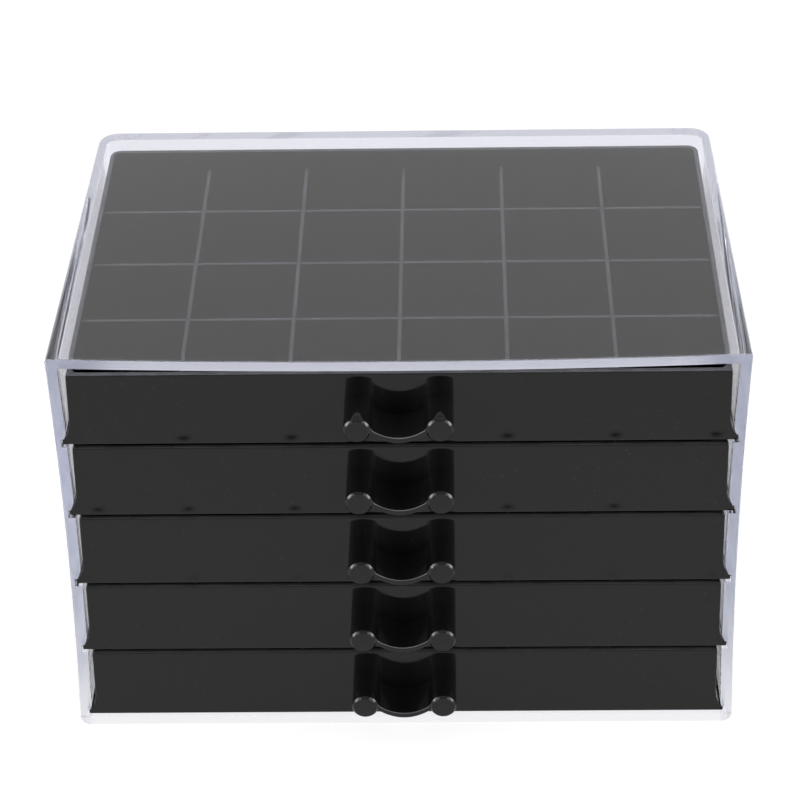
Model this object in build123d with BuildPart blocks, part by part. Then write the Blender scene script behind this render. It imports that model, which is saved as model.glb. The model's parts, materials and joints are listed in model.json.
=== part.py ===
"""Desktop organizer for nail polish and nail art: a clear case with five black drawers.

The drawers hang by flanges in grooves of the case's side walls and slide out to the front. Each tray has
24 cells between low dividers, and a pull made of two round posts with a curved web between them.

Frame: the origin is the centre of the case's base, +Z is up and the mouth of the case faces -Y.
All lengths are in millimetres.
"""
from build123d import *
import os

# Case: one clear moulding, open at the front
case_width = 241.0  # outside, across the corners of the mouth
case_depth = 168.0
case_height = 160.3  # outside, at the corners of the mouth
side_draft = 2.0  # each side leans in this much from the mouth to the back
top_draft = 1.5  # the top drops this much from the mouth to the back
side_bow = 1.5  # the mouth's sides curve in this much at mid height
top_bow = 2.0  # the mouth's top edge sags this much at mid width
bow_end = 25.0  # the sides' curve ends this far before the back
side_wall = 4.1
top_wall = 3.9
base_wall = 3.4
back_wall = 3.5
cavity_draft = 0.8  # the cavity narrows less, so the walls are thinner at the back
back_corner_radius = 7.0
cavity_corner_radius = 4.0
base_edge_radius = 3.6
top_edge_radius = 1.2

# Drawers, numbered from the top
drawer_count = 5
drawer_lift = 0.7  # underside of the lowest drawer above the cavity's floor
head_room = 1.8  # between the cavity's top and the top drawer's pitch line
drawer_gap = 1.7  # between a drawer's rim and the next one's underside
drawer_recess = 1.2  # front panel behind the mouth
drawer_end_gap = 3.5  # behind the drawer, to the cavity's back
groove_wall = 2.85  # what a groove leaves of the case's side
flange_reach = 3.15  # the flange beyond the tray's side at the rim, each side
flare_top_reach = 0.2  # where the sides start to flare out, beyond the rim
flare_mid_reach = 0.95
flare_foot_reach = 1.95
flare_top_height = 9.5
flare_mid_height = 5.2
flange_draft = 0.8  # the flanges narrow this much a side towards the back
flange_thickness = 2.6
rim_corner_radius = 1.0
tray_wall = 2.1
front_wall = 2.3
floor_thickness = 1.8
tray_corner_radius = 4.0
pocket_corner_radius = 2.4
front_edge_break = 0.3
runner_gap = 0.35  # running clearance between a drawer and its grooves
groove_end_gap = 0.6  # behind the drawer's flanges

# Dividers
columns = 6
rows = 4
divider_thickness = 1.5
divider_drop = 5.0  # tops of the dividers below the rim
boss_diameter = 2.6  # boss at each crossing
boss_sides = 6  # flats of a boss, which looks round at this size

# Pulls
post_spacing = 28.3
post_height = 15.0  # post axis above the drawer's underside
post_length = 16.0
post_diameter = 9.5
post_chamfer = 0.75
web_thickness = 2.1
web_sag = 3.6  # the web's middle below its ends
web_end_height = 1.1  # the web's upper side above the post axis where it leaves a post
web_setback = 1.0  # the web's front edge behind the posts' ends

# Derived places of the case
case_front = -case_depth / 2
case_back = case_depth / 2
mouth_half = case_width / 2
back_half = mouth_half - side_draft
cavity_half = mouth_half - side_wall
cavity_head = case_height - top_wall
cavity_back = case_back - back_wall

# Derived sizes and places of the drawers
lowest_drawer = base_wall + drawer_lift
drawer_pitch = (cavity_head - head_room - lowest_drawer) / drawer_count
drawer_height = drawer_pitch - drawer_gap
drawer_front = case_front + drawer_recess
drawer_back = cavity_back - drawer_end_gap
drawer_depth = drawer_back - drawer_front
flange_width = case_width - 2 * (groove_wall + runner_gap)  # at the front
flange_stock = flange_width + 2 * flange_thickness  # before the flanges are cut to their plan
rim_width = flange_width - 2 * flange_reach
flare_top_width = rim_width + 2 * flare_top_reach
flare_mid_width = rim_width + 2 * flare_mid_reach
flare_foot_width = rim_width + 2 * flare_foot_reach
pocket_width = rim_width - 2 * tray_wall
pocket_front = drawer_front + front_wall
pocket_back = drawer_back - tray_wall
pocket_depth = pocket_back - pocket_front
pocket_middle = (pocket_front + pocket_back) / 2
column_pitch = (pocket_width + divider_thickness) / columns
row_pitch = (pocket_depth + divider_thickness) / rows
divider_height = drawer_height - floor_thickness - divider_drop


def drawer_bottom(number):
    """Height of a drawer's underside; drawer 1 is the top one."""
    return lowest_drawer + (drawer_count - number) * drawer_pitch


def make_hull(half, rear_half, rear, foot, head, rear_head, corner_radius, foot_radius, head_radius):
    """A block with the case's form, for its outside and for its cavity.

    It is drawn from above with rounded rear corners and raised, its top slopes down to the rear and its
    long edges are rounded. The warp of the sides and of the top, deepest at the mouth and fading towards
    the rear, is then cut by wide cylinders whose axes lean away towards the rear.
    """
    low = foot + foot_radius
    high = rear_head - head_radius
    middle = (low + high) / 2
    side_radius = (high - middle) ** 2 / (2 * side_bow) + side_bow / 2
    top_radius = (half - head_radius) ** 2 / (2 * top_bow) + top_bow / 2
    flat_half = rear_half + (half - rear_half) * bow_end / (rear - case_front)
    with BuildPart() as hull:
        with BuildSketch(Plane.XY.offset(foot)):
            with BuildLine():
                Line((0, case_front), (half, case_front))
                FilletPolyline((half, case_front), (rear_half, rear), (0, rear), radius=corner_radius)
                mirror(about=Plane.YZ)
            make_face()
        extrude(amount=head - foot)
        with BuildSketch(Plane.YZ):
            with BuildLine():
                slope_end = rear + (rear - case_front)
                drop = 2 * (head - rear_head)
                Polyline((case_front, head), (slope_end, head), (slope_end, head - drop), close=True)
            make_face()
        extrude(amount=half, both=True, mode=Mode.SUBTRACT)
        if foot_radius:
            fillet(hull.faces().sort_by(Axis.Z)[0].edges().sort_by(Axis.Y)[1:], foot_radius)
        if head_radius:
            fillet(hull.faces().sort_by(Axis.Z)[-1].edges().sort_by(Axis.Y)[1:], head_radius)
        start = Vector(0, case_front, head - top_bow + top_radius)
        end = Vector(0, rear, rear_head + top_radius)
        with BuildSketch(Plane(start, x_dir=(1, 0, 0), z_dir=end - start)):
            Circle(top_radius)
        extrude(amount=(end - start).length, both=True, mode=Mode.SUBTRACT)
        for side in (1, -1):
            start = Vector(side * (half - side_bow + side_radius), case_front, middle)
            end = Vector(side * (flat_half + side_radius), rear - bow_end, middle)
            with BuildSketch(Plane(start, x_dir=(0, 0, 1), z_dir=end - start)):
                Circle(side_radius)
            extrude(amount=(end - start).length, both=True, mode=Mode.SUBTRACT)
    return hull.part


def runner_outline(bottom, gap):
    """One side of a drawer from under its flange to the top of its flare, moved out by a gap."""
    flange = flange_stock / 2 + gap
    foot = (flare_foot_width / 2 + gap, bottom + flange_thickness + gap)
    Line((flange, bottom - gap), (flange, foot[1]))
    Line((flange, foot[1]), foot)
    ThreePointArc(
        foot,
        (flare_mid_width / 2 + gap, bottom + flare_mid_height + gap),
        (flare_top_width / 2 + gap, bottom + flare_top_height + gap),
    )


def plan_outline(half_width, front, back, radius):
    """A drawer from above: flanges that narrow towards the back, and rounded rear corners."""
    rear = half_width - flange_draft
    Line((0, front), (half_width, front))
    FilletPolyline((half_width, front), (rear, back), (0, back), radius=radius)
    mirror(about=Plane.YZ)


# The space that a drawer's flanges and flared sides run in, from the mouth to behind the drawer
with BuildPart() as runway:
    runway_top = flare_top_height + runner_gap
    runway_half = flange_width / 2 + runner_gap
    with BuildSketch(Plane.XZ.offset(-case_front)):
        with BuildLine():
            Line((0, -runner_gap), (flange_stock / 2 + runner_gap, -runner_gap))
            runner_outline(0, runner_gap)
            Line((flare_top_width / 2 + runner_gap, runway_top), (0, runway_top))
            Line((0, runway_top), (0, -runner_gap))
        make_face()
        mirror(about=Plane.YZ)
    extrude(amount=-(drawer_back + groove_end_gap - case_front))
    with BuildSketch(Plane.XY.offset(-runner_gap)):
        with BuildLine():
            plan_outline(runway_half, case_front, drawer_back + groove_end_gap, tray_corner_radius)
        make_face()
    extrude(amount=runway_top + runner_gap, mode=Mode.INTERSECT)


# Clear case
outside = make_hull(
    mouth_half,
    back_half,
    case_back,
    0,
    case_height,
    case_height - top_draft,
    back_corner_radius,
    base_edge_radius,
    top_edge_radius,
)
cavity = make_hull(
    cavity_half,
    cavity_half - cavity_draft,
    cavity_back,
    base_wall,
    cavity_head,
    cavity_head - cavity_draft,
    cavity_corner_radius,
    0,
    0,
)
with BuildPart() as case:
    add(outside)
    add(cavity, mode=Mode.SUBTRACT)
    with Locations([(0, 0, drawer_bottom(number)) for number in range(1, drawer_count + 1)]):
        add(runway.part, mode=Mode.SUBTRACT)
case.part.label = "case"


def make_tray(number):
    """A drawer's tray: front, sides, back, floor and the flanges that run in the grooves."""
    bottom = drawer_bottom(number)
    rim = bottom + drawer_height
    with BuildPart() as tray:
        with BuildSketch(Plane.XZ.offset(-drawer_front)) as section:
            with BuildLine():
                Line((0, bottom), (flange_stock / 2, bottom))
                runner_outline(bottom, 0)
                Line((flare_top_width / 2, bottom + flare_top_height), (rim_width / 2, rim))
                Line((rim_width / 2, rim), (0, rim))
                Line((0, rim), (0, bottom))
            make_face()
            mirror(about=Plane.YZ)
            fillet(section.vertices().group_by(Axis.Y)[-1].sort_by(Axis.X)[-1], rim_corner_radius)
            fillet(section.vertices().group_by(Axis.Y)[-1].sort_by(Axis.X)[0], rim_corner_radius)
        extrude(amount=-drawer_depth)
        with BuildSketch(Plane.XY.offset(bottom)):
            with BuildLine():
                plan_outline(flange_width / 2, drawer_front, drawer_back, tray_corner_radius)
            make_face()
        extrude(amount=drawer_height, mode=Mode.INTERSECT)
        chamfer(tray.faces().sort_by(Axis.Y)[0].edges(), front_edge_break)
        with BuildSketch(Plane.XY.offset(bottom + floor_thickness)):
            with Locations((0, pocket_middle)):
                RectangleRounded(pocket_width, pocket_depth, pocket_corner_radius)
        extrude(amount=drawer_height, mode=Mode.SUBTRACT)
    tray.part.label = f"tray_{number}"
    return tray.part


def make_long_dividers(number):
    """The five dividers that run front to back, with the bosses where the cross dividers meet them."""
    floor = drawer_bottom(number) + floor_thickness
    with BuildPart() as dividers:
        with BuildSketch(Plane.XY.offset(floor)):
            with Locations((0, pocket_middle)):
                with GridLocations(column_pitch, 0, columns - 1, 1):
                    Rectangle(divider_thickness, pocket_depth)
                with GridLocations(column_pitch, row_pitch, columns - 1, rows - 1):
                    RegularPolygon(boss_diameter / 2, boss_sides)
        extrude(amount=divider_height)
    dividers.part.label = f"long_dividers_{number}"
    return dividers.part


def make_cross_dividers(number):
    """The short dividers between the long ones, three rows of six."""
    floor = drawer_bottom(number) + floor_thickness
    with BuildPart() as dividers:
        with BuildSketch(Plane.XY.offset(floor)):
            with Locations((0, pocket_middle)):
                with GridLocations(column_pitch, row_pitch, columns, rows - 1):
                    Rectangle(column_pitch - divider_thickness, divider_thickness)
                with GridLocations(column_pitch, row_pitch, columns - 1, rows - 1):
                    RegularPolygon(boss_diameter / 2, boss_sides, mode=Mode.SUBTRACT)
        extrude(amount=divider_height)
    dividers.part.label = f"cross_dividers_{number}"
    return dividers.part


def make_pull(number):
    """A drawer's pull: two round posts and the curved web that joins them, set back from their ends."""
    axis_height = drawer_bottom(number) + post_height
    post = post_spacing / 2
    web_end = post - post_diameter / 4
    web_top = axis_height + web_end_height
    web_foot = web_top - web_thickness
    with BuildPart() as pull:
        with BuildSketch(Plane.XZ.offset(-drawer_front)):
            with Locations((-post, axis_height), (post, axis_height)):
                Circle(post_diameter / 2)
        extrude(amount=post_length)
        chamfer(pull.faces().sort_by(Axis.Y)[:2].edges(), post_chamfer)
        with BuildSketch(Plane.XZ.offset(-drawer_front)):
            with BuildLine():
                ThreePointArc((-web_end, web_top), (0, web_top - web_sag), (web_end, web_top))
                Line((web_end, web_top), (web_end, web_foot))
                ThreePointArc((web_end, web_foot), (0, web_foot - web_sag), (-web_end, web_foot))
                Line((-web_end, web_foot), (-web_end, web_top))
            make_face()
        extrude(amount=post_length - web_setback)
    pull.part.label = f"pull_{number}"
    return pull.part


os.makedirs("parts", exist_ok=True)
export_step(case.part, "parts/case.step")
for number in range(1, drawer_count + 1):
    for piece in (
        make_tray(number),
        make_long_dividers(number),
        make_cross_dividers(number),
        make_pull(number),
    ):
        export_step(piece, f"parts/{piece.label}.step")
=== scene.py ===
"""A clear desktop case with five black drawers for nail polish and nail art, dressed for a studio picture.

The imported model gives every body, node and place. Each sub-assembly below is a class that works out its
own surfaces with numpy and dresses them. Sizes are in millimetres and become metres when a mesh is made,
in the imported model's frame: +Z up, the mouth of the case towards -Y.
"""
import json
import logging
import math
from dataclasses import dataclass, field
from enum import Enum

import bmesh
import bpy
import numpy as np
from mathutils import Matrix, Vector

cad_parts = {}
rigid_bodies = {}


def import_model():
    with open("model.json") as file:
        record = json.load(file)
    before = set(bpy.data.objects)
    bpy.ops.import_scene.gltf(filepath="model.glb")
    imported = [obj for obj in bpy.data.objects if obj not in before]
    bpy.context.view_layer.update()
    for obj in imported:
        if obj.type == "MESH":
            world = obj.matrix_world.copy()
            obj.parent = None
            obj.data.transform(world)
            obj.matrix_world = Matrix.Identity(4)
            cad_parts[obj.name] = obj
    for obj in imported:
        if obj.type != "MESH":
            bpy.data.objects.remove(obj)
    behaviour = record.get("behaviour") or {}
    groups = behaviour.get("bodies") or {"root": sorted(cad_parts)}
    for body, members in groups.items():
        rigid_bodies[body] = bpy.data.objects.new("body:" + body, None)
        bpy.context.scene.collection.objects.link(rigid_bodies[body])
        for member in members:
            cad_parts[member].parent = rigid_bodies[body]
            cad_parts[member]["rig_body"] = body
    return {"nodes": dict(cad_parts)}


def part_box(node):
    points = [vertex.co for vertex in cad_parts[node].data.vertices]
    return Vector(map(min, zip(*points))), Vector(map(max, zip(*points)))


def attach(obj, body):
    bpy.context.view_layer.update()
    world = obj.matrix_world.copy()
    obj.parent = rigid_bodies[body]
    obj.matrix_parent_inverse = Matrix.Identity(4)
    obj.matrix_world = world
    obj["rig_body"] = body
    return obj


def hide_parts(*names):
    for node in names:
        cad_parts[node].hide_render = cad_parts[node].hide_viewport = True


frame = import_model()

LOG = logging.getLogger("organizer")
MM = 0.001
MERGE_DISTANCE = 1e-7  # in metres; points closer than this become one
DRAWERS = 5

# A Mix node's inputs by number: its factor, then the two numbers or the two colours that it mixes.
FACTOR, NUMBER_A, NUMBER_B, COLOUR_A, COLOUR_B = 0, 2, 3, 6, 7


class Slot(Enum):
    """The record's material slots."""

    CASE = "clear_case"
    DRAWER = "black_drawer"
    PULL = "black_pull"


def linear(hex_colour: str) -> tuple[float, float, float, float]:
    """Turns an sRGB hex colour into the linear values that a shader takes.

    A part is divided by a slope near black, and elsewhere raised to a power after a small shift.

    Args:
        hex_colour: A colour such as "#a0b0c0".

    Returns:
        Red, green, blue and an alpha of 1.
    """
    near_black, slope, shift, power = 0.04045, 12.92, 0.055, 2.4
    digits = hex_colour.lstrip("#")
    parts = [int(digits[place : place + 2], 16) / 255 for place in (0, 2, 4)]
    values = [
        part / slope if part <= near_black else ((part + shift) / (1 + shift)) ** power for part in parts
    ]
    return (*values, 1.0)


def add_node(tree: bpy.types.NodeTree, kind: str, inputs: dict | None = None, **settings) -> bpy.types.Node:
    """Adds a shader node with its settings and links.

    Args:
        tree: The node tree that it goes into.
        kind: The node's type name.
        inputs: Input name or number to its value, or to the output socket that feeds it.
        settings: Attributes of the node, or values of its inputs with spaces written as underscores.

    Returns:
        The new node.
    """
    node = tree.nodes.new(kind)
    for name, value in settings.items():
        if hasattr(node, name):
            setattr(node, name, value)
        else:
            node.inputs[name.replace("_", " ")].default_value = value
    for place, value in (inputs or {}).items():
        if isinstance(value, bpy.types.NodeSocket):
            tree.links.new(value, node.inputs[place])
        else:
            node.inputs[place].default_value = value
    return node


def new_material(name: str) -> tuple[bpy.types.Material, bpy.types.NodeTree, bpy.types.Node]:
    """Makes an empty node material.

    Args:
        name: The material's name.

    Returns:
        The material, its tree and its output node.
    """
    material = bpy.data.materials.new(name)
    material.use_nodes = True
    material.node_tree.nodes.clear()
    output = add_node(material.node_tree, "ShaderNodeOutputMaterial")
    return material, material.node_tree, output


@dataclass(frozen=True)
class ClearPolystyrene:
    """General-purpose polystyrene, injection moulded against a polished tool.

    It is water clear over a wall's thickness and turns faintly lavender along the long way through an
    edge. Handling leaves fine rubs that blur it a little. The mesh's "matt" attribute marks the mouth's
    faces, which the tool's parting line leaves unpolished.
    """

    name: str = "clear_moulded_polystyrene"
    body: str = "#f6f6fb"
    depth_tint: str = "#bfc3d4"
    absorption: float = 5.0
    ior: float = 1.5
    roughness: float = 0.01
    rub_roughness: float = 0.05
    matt_roughness: float = 0.35
    rub_size_mm: float = 14.0
    rub_detail: float = 6.0
    rub_range: tuple[float, float] = (0.5, 0.8)
    wave_size_mm: float = 46.0
    wave_detail: float = 1.0
    wave_depth_mm: float = 0.012

    def make(self) -> bpy.types.Material:
        """Builds the material: rubs in the roughness, slow waves of the moulding in the normal.

        Returns:
            The material.
        """
        material, tree, output = new_material(self.name)
        place = add_node(tree, "ShaderNodeTexCoord").outputs["Object"]
        rubs = add_node(
            tree,
            "ShaderNodeTexNoise",
            {"Vector": place},
            Scale=1 / (self.rub_size_mm * MM),
            Detail=self.rub_detail,
        )
        polished = add_node(
            tree,
            "ShaderNodeMapRange",
            {"Value": rubs.outputs["Fac"]},
            From_Min=self.rub_range[0],
            From_Max=self.rub_range[1],
            To_Min=self.roughness,
            To_Max=self.rub_roughness,
        )
        matt = add_node(tree, "ShaderNodeAttribute", attribute_name="matt")
        rough = add_node(
            tree,
            "ShaderNodeMath",
            {0: matt.outputs["Fac"], 1: self.matt_roughness, 2: polished.outputs[0]},
            operation="MULTIPLY_ADD",
        )
        waves = add_node(
            tree,
            "ShaderNodeTexNoise",
            {"Vector": place},
            Scale=1 / (self.wave_size_mm * MM),
            Detail=self.wave_detail,
        )
        bump = add_node(
            tree,
            "ShaderNodeBump",
            {"Height": waves.outputs["Fac"]},
            Strength=1.0,
            Distance=self.wave_depth_mm * MM,
        )
        shader = add_node(
            tree,
            "ShaderNodeBsdfPrincipled",
            {"Roughness": rough.outputs[0], "Normal": bump.outputs[0]},
            Base_Color=linear(self.body),
            IOR=self.ior,
            Transmission_Weight=1.0,
        )
        depth = add_node(
            tree, "ShaderNodeVolumeAbsorption", Color=linear(self.depth_tint), Density=self.absorption
        )
        tree.links.new(shader.outputs[0], output.inputs["Surface"])
        tree.links.new(depth.outputs[0], output.inputs["Volume"])
        return material


@dataclass(frozen=True)
class BlackPolystyrene:
    """Black polystyrene, injection moulded: glossy, with fine scuffs, dust and slow sink waves.

    Rims, the tops of dividers and the pulls' upper front edges carry a painted highlight, a grey mixed in by
    a point attribute of the mesh. Sink marks get a painted darker reflection, by the sink marks' attribute.
    """

    name: str
    body: str = "#0a0b0a"
    dust: str = "#6a6b6c"
    # painted highlight: the grey that stands for light reflected by rims, divider tops and pull edges
    painted_highlight_colour: str = "#515256"
    # specular tints: plain reflection, and the painted darker reflection in sink marks
    gloss: str = "#ffffff"
    painted_dim_reflection: str = "#6c6c6c"
    ior: float = 1.5
    specular: float = 0.26
    roughness: float = 0.06
    scuff_roughness: float = 0.15
    scuff_size_mm: float = 9.0
    scuff_detail: float = 8.0
    scuff_range: tuple[float, float] = (0.45, 0.8)
    # the scuff noise makes the painted highlight patchy, between the least share and full
    highlight_range: tuple[float, float] = (0.3, 0.6)
    least_highlight: float = 0.6
    wave_size_mm: float = 30.0
    wave_detail: float = 1.5
    wave_depth_mm: float = 0.02
    speck_size_mm: float = 2.4
    speck_share: float = 0.03
    speck_strength: float = 0.5

    def make(self) -> bpy.types.Material:
        """Builds the material: scuffs, specks of dust, slow waves, a painted highlight and painted darker
        reflections.

        Returns:
            The material.
        """
        material, tree, output = new_material(self.name)
        place = add_node(tree, "ShaderNodeTexCoord").outputs["Object"]
        scuffs = add_node(
            tree,
            "ShaderNodeTexNoise",
            {"Vector": place},
            Scale=1 / (self.scuff_size_mm * MM),
            Detail=self.scuff_detail,
        )
        rough = add_node(
            tree,
            "ShaderNodeMapRange",
            {"Value": scuffs.outputs["Fac"]},
            From_Min=self.scuff_range[0],
            From_Max=self.scuff_range[1],
            To_Min=self.roughness,
            To_Max=self.scuff_roughness,
        )
        specks = add_node(
            tree, "ShaderNodeTexVoronoi", {"Vector": place}, Scale=1 / (self.speck_size_mm * MM)
        )
        spot = add_node(
            tree,
            "ShaderNodeMapRange",
            {"Value": specks.outputs["Distance"]},
            From_Min=self.speck_share,
            From_Max=self.speck_share * 2,
            To_Min=self.speck_strength,
            To_Max=0.0,
        )
        dusty = add_node(
            tree,
            "ShaderNodeMix",
            {FACTOR: spot.outputs[0], COLOUR_A: linear(self.body), COLOUR_B: linear(self.dust)},
            data_type="RGBA",
        )
        # share of the painted highlight at each place, made patchy by the scuff noise
        highlighted = add_node(
            tree,
            "ShaderNodeMapRange",
            {"Value": scuffs.outputs["Fac"]},
            From_Min=self.highlight_range[0],
            From_Max=self.highlight_range[1],
            To_Min=self.least_highlight,
            To_Max=1.0,
        )
        # mask of the painted highlight on rims, divider tops and the pulls' upper front edges
        wear = add_node(tree, "ShaderNodeAttribute", attribute_name="wear")
        share = add_node(
            tree, "ShaderNodeMath", {0: wear.outputs["Fac"], 1: highlighted.outputs[0]}, operation="MULTIPLY"
        )
        colour = add_node(
            tree,
            "ShaderNodeMix",
            {FACTOR: share.outputs[0], COLOUR_A: dusty.outputs[2], COLOUR_B: linear(self.painted_highlight_colour)},
            data_type="RGBA",
        )
        # painted darker reflection: the sink marks' specular tint runs down to a grey
        sink = add_node(tree, "ShaderNodeAttribute", attribute_name="sink")
        painted_reflection_tint = add_node(
            tree,
            "ShaderNodeMix",
            {FACTOR: sink.outputs["Fac"], COLOUR_A: linear(self.gloss), COLOUR_B: linear(self.painted_dim_reflection)},
            data_type="RGBA",
        )
        waves = add_node(
            tree,
            "ShaderNodeTexNoise",
            {"Vector": place},
            Scale=1 / (self.wave_size_mm * MM),
            Detail=self.wave_detail,
        )
        bump = add_node(
            tree,
            "ShaderNodeBump",
            {"Height": waves.outputs["Fac"]},
            Strength=1.0,
            Distance=self.wave_depth_mm * MM,
        )
        shader = add_node(
            tree,
            "ShaderNodeBsdfPrincipled",
            {
                "Base Color": colour.outputs[2],
                "Roughness": rough.outputs[0],
                "Normal": bump.outputs[0],
                "Specular Tint": painted_reflection_tint.outputs[2],
            },
            IOR=self.ior,
            Specular_IOR_Level=self.specular,
        )
        tree.links.new(shader.outputs[0], output.inputs["Surface"])
        return material


@dataclass
class Surface:
    """Points in millimetres, the faces between them, and a value from 0 to 1 a point for each mark on it."""

    points: np.ndarray
    faces: list[list[int]]
    marks: dict[str, np.ndarray] = field(default_factory=dict)

    @classmethod
    def from_rings(cls, rings: np.ndarray, start_cap: bool = True, end_cap: bool = True) -> "Surface":
        """Closes a stack of rings into a skin: point (ring i, place k) joins (i, k + 1) and (i + 1, k).

        Args:
            rings: Points of shape (rings, places, 3), where the last place joins the first.
            start_cap: Whether one flat face closes the first ring.
            end_cap: Whether one flat face closes the last ring.

        Returns:
            The surface.
        """
        count, places, _ = rings.shape
        ring = np.arange(count - 1)[:, None] * places
        place = np.arange(places)[None, :]
        after = (place + 1) % places
        corners = (ring + place, ring + after, ring + places + after, ring + places + place)
        faces = np.stack(np.broadcast_arrays(*corners), axis=-1).reshape(-1, 4).tolist()
        if start_cap:
            faces.append(list(range(places))[::-1])
        if end_cap:
            faces.append(list(range((count - 1) * places, count * places)))
        return cls(rings.reshape(-1, 3), faces)

    @classmethod
    def joined(cls, surfaces: list["Surface"]) -> "Surface":
        """Puts several surfaces into one, each with its faces moved on by the points before it.

        Args:
            surfaces: The surfaces, all with the same marks.

        Returns:
            The one surface.
        """
        starts = np.cumsum([0] + [len(surface.points) for surface in surfaces])
        faces = [
            [corner + int(start) for corner in face]
            for start, surface in zip(starts, surfaces)
            for face in surface.faces
        ]
        marks = {
            name: np.concatenate([surface.marks[name] for surface in surfaces]) for name in surfaces[0].marks
        }
        return cls(np.concatenate([surface.points for surface in surfaces]), faces, marks)

    def painted_highlight_above(self, height: float, span: float, amount: float) -> "Surface":
        """Marks a painted highlight on what lies above a height, rising evenly over a span to an amount."""
        self.marks["wear"] = amount * np.clip((self.points[:, 2] - height) / span, 0, 1)
        return self


def dress(piece: bpy.types.Object, node: str, material: bpy.types.Material) -> None:
    """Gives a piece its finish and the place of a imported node.

    Args:
        piece: The new piece.
        node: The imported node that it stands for.
        material: Its finish.
    """
    piece.data.materials.clear()
    piece.data.materials.append(material)
    bpy.context.scene.collection.objects.link(piece)
    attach(piece, frame["nodes"][node]["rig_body"])
    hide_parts(node)
    LOG.info("%s: %d faces in %s", piece.name, len(piece.data.polygons), material.name)


def make_piece(
    node: str, surface: Surface, material: bpy.types.Material, sharp_degrees: float = 40.0
) -> bpy.types.Object:
    """Makes a smooth mesh piece of a surface, with its faces outwards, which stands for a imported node.

    Args:
        node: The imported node's name.
        surface: The closed surfaces of the piece, in millimetres.
        material: Its finish.
        sharp_degrees: Edges that turn more than this stay sharp.

    Returns:
        The new piece.
    """
    mesh = bpy.data.meshes.new(node)
    mesh.from_pydata((surface.points * MM).tolist(), [], surface.faces)
    for name, values in surface.marks.items():
        mark = mesh.attributes.new(name, "FLOAT", "POINT")
        mark.data.foreach_set("value", values.astype(np.float32))
    shape = bmesh.new()
    shape.from_mesh(mesh)
    bmesh.ops.remove_doubles(shape, verts=shape.verts, dist=MERGE_DISTANCE)
    bmesh.ops.recalc_face_normals(shape, faces=shape.faces)
    shape.to_mesh(mesh)
    shape.free()
    mesh.shade_smooth()
    mesh.set_sharp_from_angle(angle=math.radians(sharp_degrees))
    piece = bpy.data.objects.new(f"{node}_piece", mesh)
    dress(piece, node, material)
    return piece


def underside(number: int) -> float:
    """Height of a drawer's underside above the case's base, in millimetres; drawer 1 is the top one."""
    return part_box(f"tray_{number}")[0].z / MM


def rounded_in(y: np.ndarray, end: float, radius: float) -> np.ndarray:
    """How far a face comes in where a quarter circle rounds the last radius before its end.

    It is the radius less the root of the squared radius less the squared way into the round.

    Args:
        y: Places along the depth.
        end: Where the face ends.
        radius: The round's radius.

    Returns:
        The inset at each place, 0 before the round.
    """
    into = np.clip(y - (end - radius), 0, radius)
    return radius - np.sqrt(radius**2 - into**2)


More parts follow.
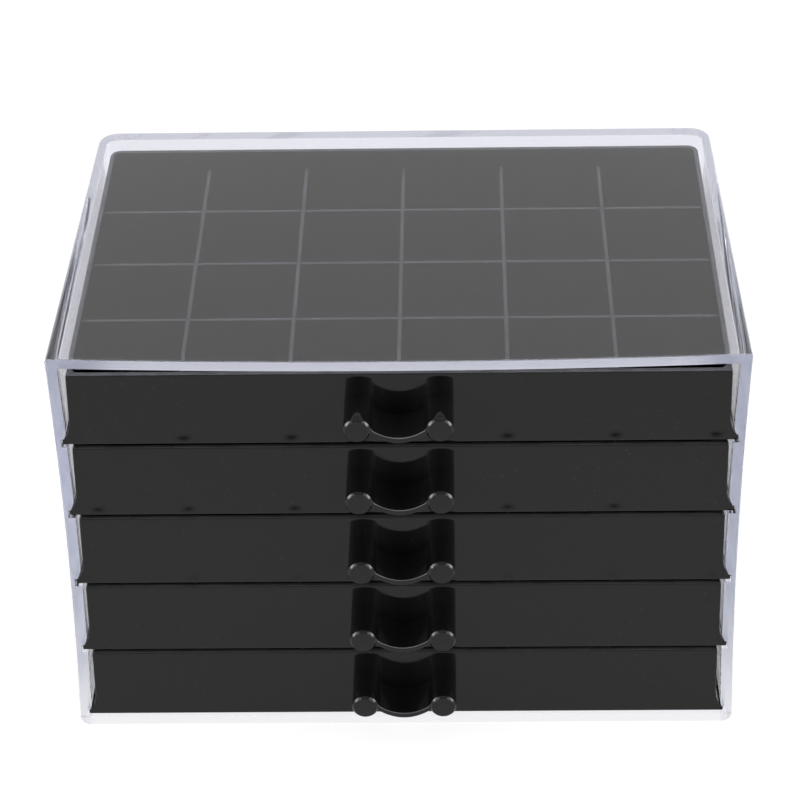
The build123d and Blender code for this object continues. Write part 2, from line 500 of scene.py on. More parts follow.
@dataclass
class Case:
    """The clear case: one moulding with grooved sides, open at the front and warped a little at its mouth.

    Its skin is a stack of upright rings: from the cavity's back along the inside to the mouth, over the lip
    and back along the outside. The warp of sides and top is a parabola that fades towards the back.
    """

    material: bpy.types.Material
    outside_draft: tuple[float, float] = (2.0, 1.5)  # of the sides and of the top, over the depth
    cavity_draft: tuple[float, float] = (0.8, 0.8)
    side_wall: float = 4.1
    top_wall: float = 3.9
    base_wall: float = 3.4
    back_wall: float = 3.5
    bow: float = 1.5
    sag: float = 2.0
    bow_end: float = 25.0  # how far before the back the sides run straight again
    outside_radii: tuple[float, float, float] = (3.6, 1.2, 7.0)  # lower, upper and upright edges
    cavity_radii: tuple[float, float, float] = (0.3, 0.5, 4.0)
    lip: float = 0.3
    back_edge: float = 0.4
    gap: float = 0.35
    groove_half: float = 117.65
    groove_height: float = 2.95
    flare_half: tuple[float, float, float] = (116.45, 115.45, 114.7)
    flare_height: tuple[float, float, float] = (2.95, 5.55, 9.85)
    groove_draft: float = 0.8
    groove_corner: float = 4.0
    groove_end: float = 77.6
    sharp_degrees: float = 30.0
    mouth_band: float = 0.01  # what lies this near the mouth's plane is its matt face
    under_groove: float = 0.05  # how far under the lowest groove its points begin
    behind_groove: float = 0.02  # how far behind the grooves the plain wall begins
    before_round: float = 1.0  # how far before the grooves' rounded ends the even steps stop
    arc_points: int = 7
    plain_points: int = 12
    flat_points: int = 5
    flare_points: int = 12
    base_points: int = 10
    upper_points: int = 16
    top_points: int = 26
    inside_steps: int = 36
    outside_steps: int = 38

    def side_profile(self) -> tuple[np.ndarray, np.ndarray]:
        """Walks up a side from groove to groove; a groove's flare is a parabola through three points.

        Returns:
            Heights up the side, and the grooves' half width at each, or 0 where there is only the wall.
        """
        flare = np.polyfit(self.flare_height, self.flare_half, 2)
        heights, halves = [], []
        for number in range(DRAWERS, 0, -1):
            bottom = underside(number)
            groove_foot = bottom - self.gap
            if heights:
                plain = np.linspace(heights[-1][-1], groove_foot, self.plain_points)[1:]
            else:
                plain = np.array([groove_foot - self.under_groove, groove_foot])
            flat = np.linspace(-self.gap, self.groove_height, self.flat_points)
            curve = np.linspace(self.flare_height[0], self.flare_height[2], self.flare_points)
            heights += [plain, bottom + flat, bottom + curve]
            halves += [np.zeros(len(plain)), np.full(len(flat), self.groove_half), np.polyval(flare, curve)]
        return np.concatenate(heights), np.concatenate(halves)

    def rings(
        self,
        y: np.ndarray,
        half: np.ndarray,
        foot: np.ndarray,
        head: np.ndarray,
        radii: tuple[float, float],
        warp: np.ndarray,
        sag: np.ndarray,
        groove: np.ndarray,
    ) -> np.ndarray:
        """Upright rings: base, rounded corner, side, rounded corner and top, mirrored to the other side.

        Args:
            y: Place of each ring along the depth.
            half: Half width of each ring at its corners.
            foot: Height of its underside.
            head: Height of its top at the corners.
            radii: Radius of the lower and of the upper long edges.
            warp: How far its sides bow in at mid height.
            sag: How far its top sags at mid width.
            groove: Greatest half width of its grooves, or 0 for none.

        Returns:
            Points of shape (rings, places, 3).
        """
        low_radius, high_radius = radii
        columns = (half, foot, head, warp, sag, groove)
        half, foot, head, warp, sag, groove = (column[:, None] for column in columns)
        heights, halves = self.side_profile()
        quarter = np.linspace(0, math.pi / 2, self.arc_points)[None, :]
        base_x = np.linspace(0, 1, self.base_points)[None, :-1] * (half - low_radius)
        corner_x = half - low_radius + low_radius * np.sin(quarter)
        corner_z = foot + low_radius * (1 - np.cos(quarter))
        rest = np.linspace(0, 1, self.upper_points)[None, 1:-1]
        grooved_z = np.broadcast_to(heights, (len(y), len(heights)))
        upper_side_z = heights[-1] + rest * (head - high_radius - heights[-1])
        side_z = np.concatenate([grooved_z, upper_side_z], axis=1)
        cut = np.concatenate([halves, np.zeros(rest.shape[1])])[None, :]
        upper_x = half - high_radius + high_radius * np.cos(quarter)
        upper_z = head - high_radius + high_radius * np.sin(quarter)
        top_x = np.linspace(1, 0, self.top_points)[None, 1:] * (half - high_radius)
        base_z = np.broadcast_to(foot, base_x.shape)
        top_z = np.broadcast_to(head, top_x.shape)
        x = np.concatenate([base_x, corner_x, np.broadcast_to(half, side_z.shape), upper_x, top_x], axis=1)
        z = np.concatenate([base_z, corner_z, side_z, upper_z, top_z], axis=1)
        middle = (foot + low_radius + head - high_radius) / 2
        reach = (head - high_radius - foot - low_radius) / 2
        bowed = x - warp * np.clip(1 - ((z - middle) / reach) ** 2, 0, 1)
        corner_start = base_x.shape[1]
        side_start = corner_start + corner_x.shape[1]
        side_end = side_start + side_z.shape[1]
        x[:, corner_start:side_end] = bowed[:, corner_start:side_end]
        x[:, side_start:side_end] = np.maximum(x[:, side_start:side_end], np.minimum(cut, groove))
        z[:, side_end:] -= (sag * (1 - (x / half) ** 2))[:, side_end:]
        x = np.concatenate([x, -x[:, -2:0:-1]], axis=1)
        z = np.concatenate([z, z[:, -2:0:-1]], axis=1)
        return np.stack([x, np.broadcast_to(y[:, None], x.shape), z], axis=-1)

    def inside(self, mouth: float, back: float, half: float, height: float) -> np.ndarray:
        """Works out the rings of the cavity, from its back to the lip's inner round.

        Args:
            mouth: Place of the mouth along the depth.
            back: Place of the case's back.
            half: Half width of the case at its mouth.
            height: Height of the case at its mouth.

        Returns:
            Points of shape (rings, places, 3).
        """
        quarter = np.linspace(0, math.pi / 2, self.arc_points)
        cavity_back = back - self.back_wall
        corner = self.cavity_radii[2]
        round_y = cavity_back - corner * (1 - np.cos(quarter))
        groove_y = self.groove_end - self.groove_corner * (1 - np.cos(quarter))
        plain_y = np.array([self.groove_end + self.behind_groove])
        last_step = self.groove_end - self.groove_corner - self.before_round
        straight_y = np.linspace(mouth + self.lip, last_step, self.inside_steps)
        y = np.unique(np.concatenate([round_y, groove_y, plain_y, straight_y]))[::-1]
        straight_count = len(y)
        y = np.concatenate([y, mouth + self.lip * (1 - np.sin(quarter[1:]))])
        open_by = np.concatenate([np.zeros(straight_count), self.lip * (1 - np.cos(quarter[1:]))])
        along = (y - mouth) / (cavity_back - mouth)
        fade = np.clip(1 - (y - mouth) / (cavity_back - self.bow_end - mouth), 0, 1)
        narrowing = self.groove_draft * (y - mouth) / (self.groove_end - mouth)
        plan = self.groove_half - narrowing - rounded_in(y, self.groove_end, self.groove_corner)
        back_round = rounded_in(y, cavity_back, corner)
        return self.rings(
            y,
            half - self.side_wall - self.cavity_draft[0] * along - back_round + open_by,
            np.full(len(y), self.base_wall) - open_by,
            height - self.top_wall - self.cavity_draft[1] * along + open_by,
            self.cavity_radii[:2],
            self.bow * fade,
            self.sag * (1 - along),
            np.where(y > self.groove_end, 0.0, plan + open_by),
        )

    def outside(self, mouth: float, back: float, half: float, height: float) -> np.ndarray:
        """Works out the rings of the outer skin, from the lip's outer round to the back.

        Args:
            mouth: Place of the mouth along the depth.
            back: Place of the case's back.
            half: Half width of the case at its mouth.
            height: Height of the case at its mouth.

        Returns:
            Points of shape (rings, places, 3).
        """
        quarter = np.linspace(0, math.pi / 2, self.arc_points)
        depth = back - mouth
        corner = self.outside_radii[2]
        lip_y = mouth + self.lip * (1 - np.cos(quarter))
        straight_y = np.linspace(mouth + self.lip, back - corner, self.outside_steps)[1:]
        y = np.concatenate([lip_y, straight_y, back - corner + corner * np.sin(quarter[1:])])
        lip_in = np.concatenate([self.lip * (1 - np.sin(quarter)), np.zeros(len(y) - len(lip_y))])
        edge_in = rounded_in(y, back, self.back_edge)
        along = (y - mouth) / depth
        fade = np.clip(1 - (y - mouth) / (depth - self.bow_end), 0, 1)
        return self.rings(
            y,
            half - self.outside_draft[0] * along - rounded_in(y, back, corner) - lip_in,
            lip_in + edge_in,
            height - self.outside_draft[1] * along - lip_in - edge_in,
            self.outside_radii[:2],
            self.bow * fade,
            self.sag * (1 - along),
            np.zeros(len(y)),
        )

    def build(self) -> bpy.types.Object:
        """Makes the case's piece, matt on the flat faces round its mouth.

        Returns:
            The piece.
        """
        low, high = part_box("case")
        mouth = low.y / MM
        sizes = (mouth, high.y / MM, high.x / MM, high.z / MM)
        skin = Surface.from_rings(np.concatenate([self.inside(*sizes), self.outside(*sizes)]))
        skin.marks["matt"] = np.where(skin.points[:, 1] < mouth + self.mouth_band, 1.0, 0.0)
        return make_piece("case", skin, self.material, self.sharp_degrees)


@dataclass
class Tray:
    """A drawer's tray: a front, sides that flare into flanges, a rounded rim and a pocket.

    The sides and the front are one skin of level rings, from the underside up over the rim and down to the
    pocket's floor. Sink marks stand in the front where the dividers meet it behind.
    """

    number: int
    material: bpy.types.Material
    height: float = 28.4
    flange_height: float = 2.6
    flange_draft: float = 0.8
    edge: float = 0.3
    flare_half: tuple[float, float, float] = (116.1, 115.0, 114.35)
    flare_height: tuple[float, float, float] = (2.6, 5.2, 9.5)
    rim_half: float = 114.15
    rim_round: float = 0.8
    front_round: float = 0.45
    wall: float = 2.1
    front_wall: float = 2.3
    floor: float = 1.8
    cove: float = 0.8
    front_corner: float = 0.5
    rear_corner: float = 4.0
    pocket_corner: float = 2.4
    sink_height: float = 2.4
    sink_width: float = 1.9
    sink_rise: float = 1.1
    sink_depths: tuple[float, ...] = (0.22, 0.17, 0.05, 0.0, 0.0)  # of each drawer, from the top
    end_sinks: tuple[float, ...] = (109.5, -107.0, 110.5, 0.0, 0.0)  # where each has one more mark
    # how strongly the sink marks' reflection is painted darker
    sink_painted_dimming: float = 1.3
    front_band: float = 1.0  # how far behind the front face the sink marks get a painted darker reflection
    # painted highlight on each drawer's rim, from the top one, and painted shade: less on drawers 2 to 5,
    # whose rims the drawer above shades
    rim_highlights: tuple[float, ...] = (0.8, 0.3, 0.3, 0.3, 0.3)
    rim_highlight_depth: float = 0.2
    rim_highlight_span: float = 0.15
    divider_pitch: float = 37.45
    facing_front: float = -0.999  # sine under which a point's normal faces the front
    arc_points: int = 4
    flange_points: int = 6
    flare_points: int = 12
    wall_points: int = 14
    corner_points: int = 6
    side_points: tuple[int, int, int, int] = (230, 14, 12, 14)  # front, with its marks, right, back, left

    def levels(self) -> np.ndarray:
        """Works out the profile; its rounds are quarter circles, and its flare is a parabola.

        Returns:
            Rows of half width, height, front inset and back inset, from the underside to the pocket's floor.
        """
        low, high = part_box(f"tray_{self.number}")
        half = (high.x - low.x) / 2 / MM
        turn = np.linspace(0, math.pi / 2, self.arc_points)
        up, inward = np.sin(turn), 1 - np.cos(turn)
        rise, run = self.edge * inward, self.edge * (1 - up)
        foot = np.stack([half - run, rise, run, run], axis=1)
        flange_z = np.linspace(self.edge, self.flange_height - self.edge, self.flange_points)
        flange = np.stack([np.full(len(flange_z), half), flange_z, 0 * flange_z, 0 * flange_z], axis=1)
        over = np.stack([half - rise, self.flange_height - run, 0 * run, 0 * run], axis=1)
        flare_z = np.linspace(self.flare_height[0], self.flare_height[2], self.flare_points)
        bend = np.polyfit(self.flare_height, self.flare_half, 2)
        flare = np.stack([np.polyval(bend, flare_z), flare_z, 0 * flare_z, 0 * flare_z], axis=1)
        wall_z = np.linspace(self.flare_height[2], self.height - self.rim_round, self.wall_points)[1:-1]
        lean = np.interp(wall_z, (self.flare_height[2], self.height), (self.flare_half[2], self.rim_half))
        wall = np.stack([lean, wall_z, 0 * wall_z, 0 * wall_z], axis=1)
        rim_z = self.height - self.rim_round * (1 - up)
        rim_in = self.front_round * inward
        rim = np.stack([self.rim_half - self.rim_round * inward, rim_z, rim_in, rim_in], axis=1)
        lip_in = self.front_round * inward[::-1]
        lip_z = self.height - self.front_round * (1 - up[::-1])
        pocket_half = self.rim_half - self.wall
        lip = np.stack([pocket_half + lip_in, lip_z, self.front_wall - lip_in, self.wall - lip_in], axis=1)
        cove_in = self.cove * inward
        cove_z = self.floor + self.cove * (1 - up)
        cove = np.stack(
            [pocket_half - cove_in, cove_z, self.front_wall + cove_in, self.wall + cove_in], axis=1
        )
        return np.concatenate([foot, flange, over, flare, wall, rim, lip, cove])

    def rings(self) -> np.ndarray:
        """Works out level rings: rounded rectangles whose corner centres move with the level.

        A point is its place between two corner centres plus the corner's radius along the outward normal,
        which turns a quarter at each corner. The flanges narrow evenly from the front to the back.

        Returns:
            Points of shape (rings, places, 3).
        """
        levels = self.levels()
        low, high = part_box(f"tray_{self.number}")
        front, back = low.y / MM, high.y / MM
        half, height, front_in, back_in = levels.T
        pocket_rings = 2 * self.arc_points
        in_pocket = np.arange(len(levels)) >= len(levels) - pocket_rings
        front_radius = np.where(in_pocket, self.pocket_corner, self.front_corner)
        rear_radius = np.where(in_pocket, self.pocket_corner, self.rear_corner)
        radius = np.stack([front_radius, front_radius, rear_radius, rear_radius], axis=1)
        centre_x = np.array([-1, 1, 1, -1]) * (half[:, None] - radius)
        rear_y = back - back_in
        front_y = front + front_in
        centre_y = np.stack([front_y, front_y, rear_y, rear_y], axis=1) + np.array([1, 1, -1, -1]) * radius
        first, share, angle = [], [], []
        for corner, count in enumerate(self.side_points):
            side_angle = (corner - 1) * math.pi / 2
            turn = np.linspace(side_angle, side_angle + math.pi / 2, self.corner_points)
            first.append(np.full(count + len(turn), corner))
            share.append(np.concatenate([np.linspace(0, 1, count, endpoint=False), np.ones(len(turn))]))
            angle.append(np.concatenate([np.full(count, side_angle), turn]))
        first, share, angle = (np.concatenate(part) for part in (first, share, angle))
        then = (first + 1) % len(self.side_points)
        x, y, reach = (
            part[:, first] * (1 - share) + part[:, then] * share for part in (centre_x, centre_y, radius)
        )
        x = x + reach * np.cos(angle)
        y = y + reach * np.sin(angle)
        widest = (high.x - low.x) / 2 / MM - self.flange_draft * (y - front) / (back - front)
        x = np.sign(x) * np.minimum(np.abs(x), widest)
        z = np.broadcast_to(height[:, None], x.shape)
        on_front = (np.sin(angle) < self.facing_front) & ~in_pocket[:, None]
        y = y + np.where(on_front, self.sink(x, z), 0.0)
        return np.stack([x, y, z + low.z / MM], axis=-1)

    def sink(self, x: np.ndarray, z: np.ndarray) -> np.ndarray:
        """Depth of the sink marks: bell curves in x and z at each divider, and one at the pocket's end.

        Args:
            x: Places across the front.
            z: Heights above the drawer's underside.

        Returns:
            How far the front lies in at each point.
        """
        depth = self.sink_depths[self.number - 1]
        places = [self.divider_pitch * step for step in (-2, -1, 1, 2)] + [self.end_sinks[self.number - 1]]
        total = np.zeros_like(x)
        for place in places:
            across = ((x - place) / self.sink_width) ** 2
            total += depth * np.exp(-across - ((z - self.sink_height) / self.sink_rise) ** 2)
        return total

    def build(self) -> bpy.types.Object:
        """Makes the tray's piece: a painted highlight on its rim, painted darker reflections in its sink
        marks.

        Returns:
            The piece.
        """
        skin = Surface.from_rings(self.rings())
        bottom = underside(self.number)
        # painted highlight along the rim's top, for the light it reflects
        rim_foot = bottom + self.height - self.rim_highlight_depth
        skin.painted_highlight_above(rim_foot, self.rim_highlight_span, self.rim_highlights[self.number - 1])
        x, y, z = skin.points.T
        # painted darker reflection: marks the sink marks on the front face, which the material's specular
        # tint dims
        on_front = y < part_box(f"tray_{self.number}")[0].y / MM + self.front_band
        depth = self.sink(x, z - bottom) / max(self.sink_depths)
        skin.marks["sink"] = np.where(on_front, np.clip(self.sink_painted_dimming * depth, 0, 1), 0.0)
        return make_piece(f"tray_{self.number}", skin, self.material)


@dataclass
class Dividers:
    """The low walls of a tray: long ones front to back, short ones across, and a boss at each crossing."""

    number: int
    material: bpy.types.Material
    thickness: float = 1.5
    top_round: float = 0.3
    # painted highlight on the rounded tops, for the light they reflect: its strength, its start below the
    # top, and its rise
    top_highlight: float = 0.62
    highlight_depth: float = 0.3
    highlight_span: float = 0.25
    foot_cove: float = 0.35
    rear_slope: float = 6.0
    rear_drop: float = 9.0
    boss_radius: float = 1.3
    boss_round: float = 0.35
    columns: int = 6
    rows: int = 4
    arc_points: int = 5
    plain_steps: int = 8
    fall_steps: int = 9
    cross_steps: int = 3
    boss_arc_points: int = 4
    boss_points: int = 20

    def section(self) -> np.ndarray:
        """Works out a divider's outline: straight sides, a rounded top and a small cove at the foot.

        Returns:
            Rows of across and up.
        """
        half = self.thickness / 2
        turn = np.linspace(0, math.pi / 2, self.arc_points)
        foot_across = half + self.foot_cove * (1 - np.sin(turn))
        top_across = half - self.top_round * (1 - np.cos(turn))
        foot_up = self.foot_cove * (1 - np.cos(turn))
        top_up = self.height() - self.top_round * (1 - np.sin(turn))
        right_across = np.concatenate([foot_across, top_across])
        right_up = np.concatenate([foot_up, top_up])
        across = np.concatenate([right_across, -right_across[::-1]])
        up = np.concatenate([right_up, right_up[::-1]])
        return np.stack([across, up], axis=1)

    def places(self) -> tuple[np.ndarray, np.ndarray]:
        """Works out where the dividers stand, at even pitches in both directions.

        Returns:
            Centre lines of the long dividers across the tray, and of the rows of short ones along it.
        """
        low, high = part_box(f"long_dividers_{self.number}")
        cross_low, cross_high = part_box(f"cross_dividers_{self.number}")
        pitch = ((cross_high.x - cross_low.x) / MM + self.thickness) / self.columns
        front, back = low.y / MM, high.y / MM
        row_pitch = (back - front + self.thickness) / self.rows
        across = (np.arange(1, self.columns) - self.columns / 2) * pitch
        along = front - self.thickness / 2 + np.arange(1, self.rows) * row_pitch
        return across, along

    def floor(self) -> float:
        """Height of the tray's floor above the case's base."""
        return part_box(f"long_dividers_{self.number}")[0].z / MM

    def height(self) -> float:
        """Height of the dividers above the tray's floor."""
        low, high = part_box(f"long_dividers_{self.number}")
        return (high.z - low.z) / MM

    def highlighted(self, parts: list[Surface]) -> Surface:
        """Joins surfaces into one that carries a painted highlight along its top."""
        top = self.floor() + self.height()
        return Surface.joined(parts).painted_highlight_above(top - self.highlight_depth, self.highlight_span, self.top_highlight)

    def build_long(self) -> bpy.types.Object:
        """Makes the long dividers and the bosses.

        Before the back, the tops fall away by the drop times 1 less the root of 1 less the squared share
        of the way through the slope.

        Returns:
            The piece.
        """
        across, along = self.places()
        floor = self.floor()
        section = self.section()
        low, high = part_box(f"long_dividers_{self.number}")
        front, back = low.y / MM, high.y / MM
        slope_start = back - self.rear_slope
        plain_y = np.linspace(front, slope_start, self.plain_steps)
        fall_y = np.linspace(slope_start, back, self.fall_steps)[1:]
        steps = np.concatenate([plain_y, fall_y])
        into = np.clip((steps - slope_start) / self.rear_slope, 0, 1)
        fall = self.rear_drop * (1 - np.sqrt(1 - into**2))
        share = section[:, 1] / section[:, 1].max()
        up = floor + section[None, :, 1] - fall[:, None] * share[None, :]
        depth = np.broadcast_to(steps[:, None], up.shape)
        parts = []
        for centre in across:
            side = np.broadcast_to(centre + section[None, :, 0], up.shape)
            parts.append(Surface.from_rings(np.stack([side, depth, up], axis=-1)))
        parts += [self.boss(x, y, floor) for x in across for y in along]
        return make_piece(f"long_dividers_{self.number}", self.highlighted(parts), self.material)

    def boss(self, x: float, y: float, floor: float) -> Surface:
        """Makes a round boss: a profile of radius and height turned about its axis.

        Args:
            x: Its place across the tray.
            y: Its place along the tray.
            floor: Height of the tray's floor.

        Returns:
            The boss's surface.
        """
        turn = np.linspace(0, math.pi / 2, self.boss_arc_points)
        radius = np.concatenate([[self.boss_radius], self.boss_radius - self.boss_round * (1 - np.cos(turn))])
        up = np.concatenate([[0.0], self.height() - self.boss_round * (1 - np.sin(turn))])
        angle = np.linspace(0, 2 * math.pi, self.boss_points, endpoint=False)
        points = np.stack(
            [
                x + radius[:, None] * np.cos(angle),
                y + radius[:, None] * np.sin(angle),
                np.broadcast_to(floor + up[:, None], (len(up), len(angle))),
            ],
            axis=-1,
        )
        return Surface.from_rings(points)

    def build_cross(self) -> bpy.types.Object:
        """Makes the short dividers, one in each column of each row.

        Returns:
            The piece.
        """
        across, along = self.places()
        section = self.section()
        low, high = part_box(f"cross_dividers_{self.number}")
        half = self.thickness / 2
        edges = np.concatenate([[low.x / MM - half], across, [high.x / MM + half]])
        shape = (self.cross_steps, len(section))
        up = np.broadcast_to(self.floor() + section[None, :, 1], shape)
        parts = []
        for row in along:
            depth = np.broadcast_to(row + section[None, :, 0], shape)
            for left, right in zip(edges[:-1], edges[1:]):
                steps = np.linspace(left + half, right - half, self.cross_steps)
                side = np.broadcast_to(steps[:, None], shape)
                parts.append(Surface.from_rings(np.stack([side, depth, up], axis=-1)))
        return make_piece(f"cross_dividers_{self.number}", self.highlighted(parts), self.material)


@dataclass
class Pull:
    """A drawer's pull: two round posts with chamfered ends and a curved web that flows into them."""

    number: int
    material: bpy.types.Material
    spacing: float = 28.3
    post_radius: float = 4.75
    chamfer: float = 0.75
    chamfer_round: float = 0.12
    web_setback: float = 1.0
    web_top: float = 1.9
    web_thickness: float = 2.1
    web_sag: float = 5.3
    web_edge: float = 0.3
    # strength of the painted highlight along the web's upper front edge
    edge_highlight: float = 1.0
    blend: float = 0.55
    blend_reach: float = 0.6  # how far beyond the plain web a blend may go
    inside_post: float = 0.03  # how far inside the post's face the web's ends lie
    no_post: float = -9.0  # stands for a post's height where there is none
    sharp_degrees: float = 50.0
    arc_points: int = 4
    post_points: int = 64
    web_points: int = 61

    def frame_of(self) -> tuple[float, float, float]:
        """The face that the pull stands on, its front end and the height of its posts' axes."""
        low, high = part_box(f"pull_{self.number}")
        return high.y / MM, low.y / MM, (high.z / MM) - self.post_radius

    def post(self, x: float) -> Surface:
        """Makes a post: a profile of radius along its axis, with a rounded chamfer, turned about that axis.

        Args:
            x: The place of its axis across the drawer.

        Returns:
            The post's surface.
        """
        base, tip, axis = self.frame_of()
        small = self.chamfer_round
        eighth = math.pi / 4
        turn = np.linspace(0, eighth, self.arc_points)
        along = np.concatenate(
            [
                [base, base + (tip - base) / 2],
                tip + self.chamfer + small * (1 - np.sin(turn)),
                tip + small * (1 - np.sin(turn + eighth)),
            ]
        )
        radius = np.concatenate(
            [
                [self.post_radius, self.post_radius],
                self.post_radius - small * (1 - np.cos(turn)),
                self.post_radius - self.chamfer + small * np.cos(turn + eighth),
            ]
        )
        angle = np.linspace(0, 2 * math.pi, self.post_points, endpoint=False)
        points = np.stack(
            [
                x + radius[:, None] * np.cos(angle),
                np.broadcast_to(along[:, None], (len(along), len(angle))),
                axis + radius[:, None] * np.sin(angle),
            ],
            axis=-1,
        )
        return Surface.from_rings(points)

    def web_curves(self) -> tuple[np.ndarray, np.ndarray, np.ndarray]:
        """Works out the web's upper and lower curves.

        Each curve is a parabola that sags in the middle, joined to the posts' circles by a soft maximum:
        half the sum of both heights plus half the root of their squared difference plus the blend squared.

        Returns:
            Places across the pull, and the heights of both curves above the posts' axes there.
        """
        centre = self.spacing / 2
        x = centre * np.sin(np.linspace(-math.pi / 2, math.pi / 2, self.web_points))
        inside = np.clip(self.post_radius**2 - (np.abs(x) - centre) ** 2, 0, None)
        by_post = inside > 0
        circle = np.sqrt(inside) - self.inside_post
        reach = centre - self.post_radius / 2
        upper = self.web_top - self.web_sag * (1 - np.clip(np.abs(x) / reach, 0, 1) ** 2)
        lower = upper - self.web_thickness
        blend = self.blend**2
        post = np.where(by_post, circle, self.no_post)
        top = (upper + post + np.sqrt((upper - post) ** 2 + blend)) / 2
        bottom = (lower - post - np.sqrt((lower + post) ** 2 + blend)) / 2
        highest = np.maximum(circle, upper + self.blend_reach)
        lowest = np.minimum(-circle, lower - self.blend_reach)
        top = np.where(by_post, np.minimum(top, highest), upper)
        bottom = np.where(by_post, np.maximum(bottom, lowest), lower)
        return x, top, bottom

    def web(self) -> Surface:
        """Makes the web: a band between its two curves, drawn out from the drawer's front and rounded there.

        Returns:
            The web's surface, with a painted highlight along its upper front edge.
        """
        base, tip, axis = self.frame_of()
        x, top, bottom = self.web_curves()
        turn = np.linspace(0, math.pi / 2, self.arc_points)
        inset = np.concatenate([[0.0, 0.0], self.web_edge * (1 - np.cos(turn))[1:]])
        end = tip + self.web_setback
        along = np.concatenate([[base, end + self.web_edge], end + self.web_edge * (1 - np.sin(turn))[1:]])
        across = np.concatenate([x, x[::-1]])
        up = np.concatenate([top, bottom[::-1]])
        inwards = np.concatenate([np.full(len(x), -1.0), np.full(len(x), 1.0)])
        heights = axis + up[None, :] + inwards[None, :] * inset[:, None]
        side = np.broadcast_to(across, heights.shape)
        depth = np.broadcast_to(along[:, None], heights.shape)
        skin = Surface.from_rings(np.stack([side, depth, heights], axis=-1), end_cap=False)
        first = (len(along) - 1) * len(across)
        place = np.arange(len(x) - 1)
        mate = len(across) - 1 - place
        skin.faces += (first + np.stack([place, place + 1, mate - 1, mate], axis=1)).tolist()
        # painted highlight: a thin grey line along the middle of the web's upper front round, for the light
        # that edge reflects
        wear = np.zeros(heights.shape)
        wear[2:-1, : len(x)] = self.edge_highlight
        skin.marks["wear"] = wear.reshape(-1)
        return skin

    def build(self) -> bpy.types.Object:
        """Makes the pull's piece of two posts and the web, whose upper front edge carries a painted
        highlight.

        Returns:
            The piece.
        """
        parts = [self.post(-self.spacing / 2), self.post(self.spacing / 2), self.web()]
        for part in parts:
            part.marks.setdefault("wear", np.zeros(len(part.points)))
        skin = Surface.joined(parts)
        return make_piece(f"pull_{self.number}", skin, self.material, self.sharp_degrees)


@dataclass(frozen=True)
class Softbox:
    """A rectangular soft light: its place and size in metres, and its power in watts."""

    name: str
    place: tuple[float, float, float]
    size: tuple[float, float]
    watts: float

    def hang(self, aim: Vector) -> None:
        """Hangs the light so that it faces a point.

        Args:
            aim: The point, in metres.
        """
        lamp = bpy.data.lights.new(self.name, "AREA")
        lamp.shape = "RECTANGLE"
        lamp.size, lamp.size_y = self.size
        lamp.energy = self.watts
        item = bpy.data.objects.new(self.name, lamp)
        place = Vector(self.place)
        turn = (aim - place).to_track_quat("-Z", "Y").to_matrix().to_4x4()
        item.matrix_world = Matrix.Translation(place) @ turn
        bpy.context.scene.collection.objects.link(item)


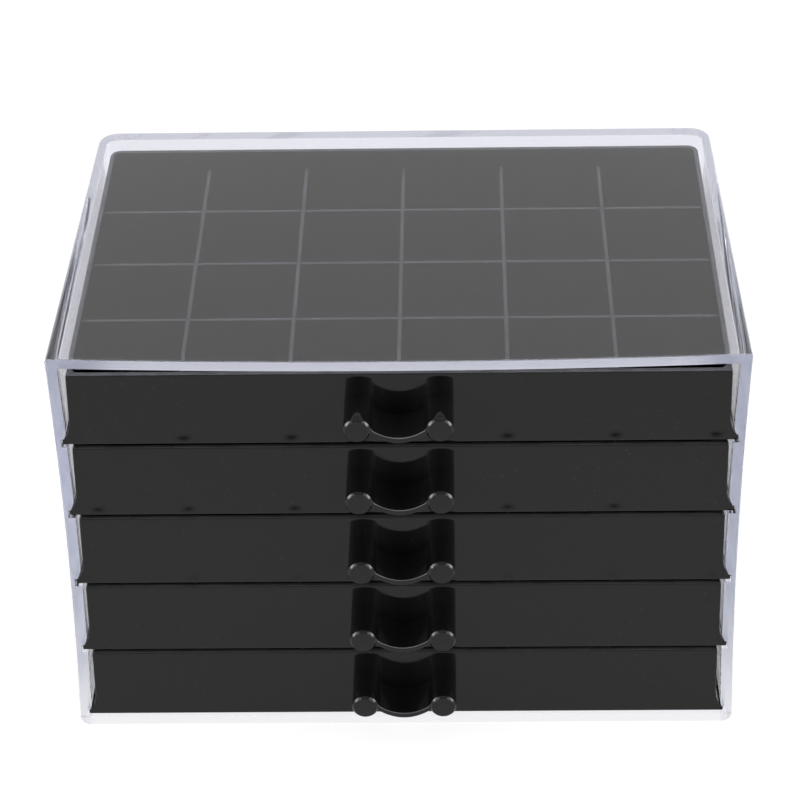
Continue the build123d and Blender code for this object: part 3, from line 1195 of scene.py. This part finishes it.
@dataclass
class Studio:
    """The pale floor, the soft lights and the camera."""

    floor_half: float = 3.0
    floor_colour: str = "#f2f2f2"
    floor_glow: float = 0.8  # how far the floor, where it is seen, is plain white
    camera_place_mm: tuple[float, float, float] = (20.20, -889.8, 667.56)
    camera_elevation: float = 33.070
    camera_turn: float = 1.4037
    camera_roll: float = 1.2126
    lens_mm: float = 126.19
    sensor_mm: float = 36.0
    near_clip: float = 0.01
    room_colour: str = "#ffffff"
    world_strength: float = 0.55
    overhead: float = 0.70  # how bright the room's upper part is beside its white horizon
    overhead_range: tuple[float, float] = (0.15, 0.5)  # over which heights of a way it dims
    dark_side: tuple[float, float, float] = (0.0, -0.94, 0.34)  # where the photographer stands
    dark_side_level: float = 0.12
    dark_side_range: tuple[float, float] = (0.93, 0.985)  # cosines over which it darkens
    aim: tuple[float, float, float] = (0, 0, 0.08)
    softboxes: tuple[Softbox, ...] = (
        Softbox("softbox_left", (-1.3, -0.45, 0.55), (0.5, 0.7), 10.0),
        Softbox("softbox_right", (1.3, -0.45, 0.55), (0.5, 0.7), 10.0),
        Softbox("broad_left", (-1.4, -0.75, 0.7), (1.4, 1.5), 20.0),
        Softbox("broad_right", (1.4, -0.75, 0.7), (1.4, 1.5), 20.0),
        Softbox("softbox_top", (0.0, 0.1, 1.5), (1.2, 0.9), 12.0),
    )
    wall_bounces: int = 40  # light that runs along inside a clear wall turns back many times

    def seen_directly(self, tree: bpy.types.NodeTree) -> bpy.types.NodeSocket:
        """Gives 1 for camera, mirror and see-through rays and 0 for rays that light the object.

        Args:
            tree: The node tree that asks.

        Returns:
            The socket with the answer.
        """
        path = add_node(tree, "ShaderNodeLightPath")
        either = add_node(
            tree,
            "ShaderNodeMath",
            {0: path.outputs["Is Camera Ray"], 1: path.outputs["Is Glossy Ray"]},
            operation="MAXIMUM",
        )
        every = add_node(
            tree,
            "ShaderNodeMath",
            {0: either.outputs[0], 1: path.outputs["Is Transmission Ray"]},
            operation="MAXIMUM",
        )
        return every.outputs[0]

    def build_floor(self) -> None:
        """Lays the pale floor, which keeps the object's shadow."""
        half = self.floor_half
        mesh = bpy.data.meshes.new("floor")
        corners = [(-half, -half, 0), (half, -half, 0), (half, half, 0), (-half, half, 0)]
        mesh.from_pydata(corners, [], [(0, 1, 2, 3)])
        material, tree, output = new_material("pale_floor")
        matt = add_node(tree, "ShaderNodeBsdfDiffuse", Color=linear(self.floor_colour))
        glow = add_node(tree, "ShaderNodeEmission", Strength=1.0)
        seen = self.seen_directly(tree)
        share = add_node(tree, "ShaderNodeMath", {0: seen, 1: self.floor_glow}, operation="MULTIPLY")
        mix = add_node(
            tree, "ShaderNodeMixShader", {0: share.outputs[0], 1: matt.outputs[0], 2: glow.outputs[0]}
        )
        tree.links.new(mix.outputs[0], output.inputs["Surface"])
        mesh.materials.append(material)
        floor = bpy.data.objects.new("floor", mesh)
        bpy.context.scene.collection.objects.link(floor)

    def build_world(self) -> None:
        """Sets the room: white at the horizon where it is seen, dimmer overhead, softer where it lights."""
        world = bpy.data.worlds.new("studio")
        bpy.context.scene.world = world
        world.use_nodes = True
        tree = world.node_tree
        tree.nodes.clear()
        output = add_node(tree, "ShaderNodeOutputWorld")
        colour = linear(self.room_colour)
        light = add_node(tree, "ShaderNodeBackground", Strength=self.world_strength, Color=colour)
        way = add_node(tree, "ShaderNodeTexCoord")
        height = add_node(tree, "ShaderNodeSeparateXYZ", {0: way.outputs["Generated"]})
        level = add_node(
            tree,
            "ShaderNodeMapRange",
            {"Value": height.outputs["Z"]},
            From_Min=self.overhead_range[0],
            From_Max=self.overhead_range[1],
            To_Min=1.0,
            To_Max=self.overhead,
        )
        facing = add_node(
            tree,
            "ShaderNodeVectorMath",
            {0: way.outputs["Generated"], 1: self.dark_side},
            operation="DOT_PRODUCT",
        )
        dark = add_node(
            tree,
            "ShaderNodeMapRange",
            {"Value": facing.outputs["Value"]},
            From_Min=self.dark_side_range[0],
            From_Max=self.dark_side_range[1],
            To_Min=1.0,
            To_Max=self.dark_side_level,
        )
        path = add_node(tree, "ShaderNodeLightPath")
        mirrored = add_node(
            tree,
            "ShaderNodeMix",
            {FACTOR: path.outputs["Is Glossy Ray"], NUMBER_A: 1.0, NUMBER_B: dark.outputs[0]},
            data_type="FLOAT",
        )
        strength = add_node(
            tree, "ShaderNodeMath", {0: level.outputs[0], 1: mirrored.outputs[0]}, operation="MULTIPLY"
        )
        white = add_node(tree, "ShaderNodeBackground", {"Strength": strength.outputs[0]}, Color=colour)
        mix = add_node(
            tree,
            "ShaderNodeMixShader",
            {0: self.seen_directly(tree), 1: light.outputs[0], 2: white.outputs[0]},
        )
        tree.links.new(mix.outputs[0], output.inputs["Surface"])

    def build_camera(self) -> None:
        """Sets the camera at the solved viewing angle."""
        data = bpy.data.cameras.new("camera")
        data.lens = self.lens_mm
        data.sensor_width = self.sensor_mm
        data.clip_start = self.near_clip
        camera = bpy.data.objects.new("camera", data)
        place = Vector(self.camera_place_mm) * MM
        camera.matrix_world = (
            Matrix.Translation(place)
            @ Matrix.Rotation(math.radians(self.camera_turn), 4, "Z")
            @ Matrix.Rotation(math.radians(90 - self.camera_elevation), 4, "X")
            @ Matrix.Rotation(-math.radians(self.camera_roll), 4, "Z")
        )
        bpy.context.scene.collection.objects.link(camera)
        bpy.context.scene.camera = camera

    def build(self) -> None:
        """Builds the whole studio."""
        self.build_floor()
        self.build_world()
        for softbox in self.softboxes:
            softbox.hang(Vector(self.aim))
        self.build_camera()
        scene = bpy.context.scene
        scene.view_settings.view_transform = "Standard"
        scene.cycles.max_bounces = self.wall_bounces
        scene.cycles.transmission_bounces = self.wall_bounces
        scene.cycles.glossy_bounces = self.wall_bounces


def main() -> None:
    """Builds the studio and each sub-assembly in order."""
    logging.basicConfig(level=logging.INFO, format="%(message)s")
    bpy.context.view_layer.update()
    Studio().build()
    clear = ClearPolystyrene().make()
    black = BlackPolystyrene("black_moulded_polystyrene").make()
    polished = BlackPolystyrene("black_polished_polystyrene", roughness=0.05, speck_strength=0.0).make()
    Case(clear).build()
    for number in range(1, DRAWERS + 1):
        Tray(number, black).build()
        dividers = Dividers(number, black)
        dividers.build_long()
        dividers.build_cross()
        Pull(number, polished).build()
    bpy.context.view_layer.update()


if __name__ == "__main__":
    main()
